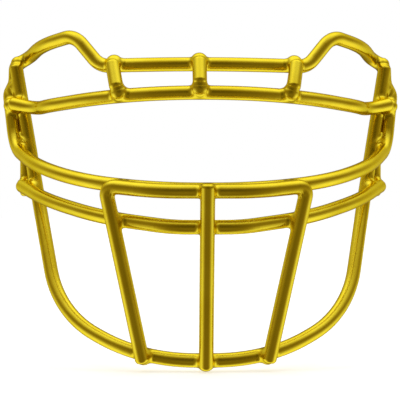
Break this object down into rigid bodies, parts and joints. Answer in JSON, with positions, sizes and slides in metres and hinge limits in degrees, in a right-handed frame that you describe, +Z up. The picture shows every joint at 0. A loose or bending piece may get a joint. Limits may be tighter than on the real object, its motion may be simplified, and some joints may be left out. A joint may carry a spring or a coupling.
{
  "type": "football helmet facemask",
  "caption": "Open face cage of round coated steel wire with a raised brow, an eye opening, a mouth bow with a centre bar and a rounded chin.",
  "frame": {"origin": "centre of the box that bounds the cage", "axes": "+X across the face to the wearer's left, -Y straight ahead of the face, +Z up"},
  "size_m": [0.2282, 0.1142, 0.1837],
  "materials": {
    "coat": "glossy polymer coat",
    "steel": "drawn wire",
    "weld": "as welded"
  },
  "bodies": {
    "root": {"top_wire_coat": "coat", "eye_wire_coat": "coat", "jaw_wire_coat": "coat", "lower_brow_wire_coat": "coat", "lower_eye_wire_coat": "coat", "mouth_bow_coat": "coat", "centre_bar_coat": "coat", "centre_brow_rib_coat": "coat", "right_brow_rib_coat": "coat", "left_brow_rib_coat": "coat", "right_side_post_coat": "coat", "left_side_post_coat": "coat", "top_wire_core": "steel", "eye_wire_core": "steel", "jaw_wire_core": "steel", "lower_brow_wire_core": "steel", "lower_eye_wire_core": "steel", "mouth_bow_core": "steel", "centre_bar_core": "steel", "centre_brow_rib_core": "steel", "right_brow_rib_core": "steel", "left_brow_rib_core": "steel", "right_side_post_core": "steel", "left_side_post_core": "steel", "brow_rib_welds": "weld", "right_side_welds": "weld", "left_side_welds": "weld", "mouth_bow_welds": "weld", "lower_eye_and_chin_welds": "weld"}
  },
  "joints": []
}
